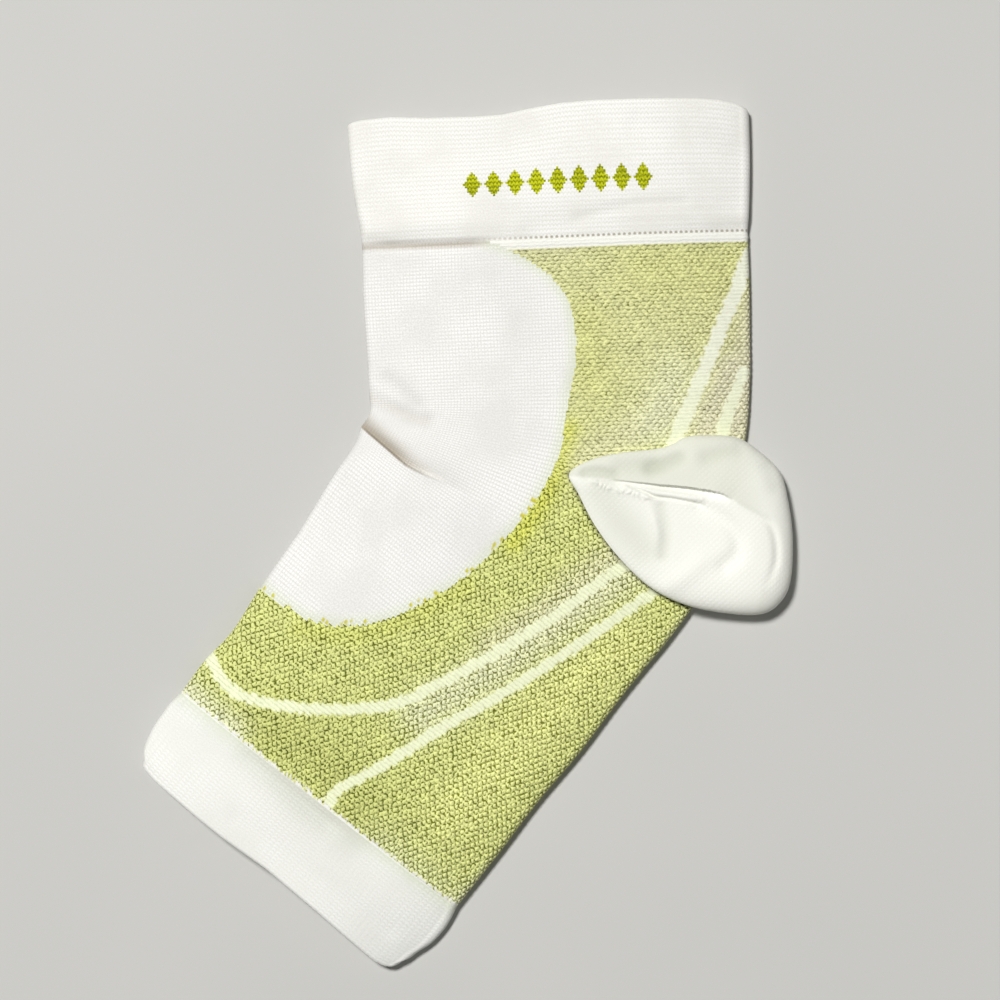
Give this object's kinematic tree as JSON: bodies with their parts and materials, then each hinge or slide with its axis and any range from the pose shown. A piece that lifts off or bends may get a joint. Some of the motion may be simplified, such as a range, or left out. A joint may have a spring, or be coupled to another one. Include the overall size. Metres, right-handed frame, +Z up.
{
  "type": "arch support sleeve",
  "caption": "Knitted foot and ankle compression sleeve lying flat, with a turned ankle cuff, mesh body with pale support stripes, smooth instep, folded heel pocket and open toe band.",
  "frame": {"origin": "centre of the sleeve's outline as seen from above, on the surface that it lies on", "axes": "+X from the front of the ankle towards the heel, +Y from the toes' end up to the ankle cuff, +Z up from the surface"},
  "size_m": [0.15, 0.2006, 0.0114],
  "materials": {
    "cuff_knit": "matt double knit",
    "mesh_knit": "matt mock mesh knit",
    "instep_knit": "matt plain knit",
    "heel_knit": "matt fine terry knit",
    "band_knit": "matt double knit"
  },
  "bodies": {
    "root": {"ankle_cuff": "cuff_knit", "mesh_body": "mesh_knit", "instep_panel": "instep_knit", "heel_pocket": "heel_knit", "toe_band": "band_knit"}
  },
  "joints": []
}
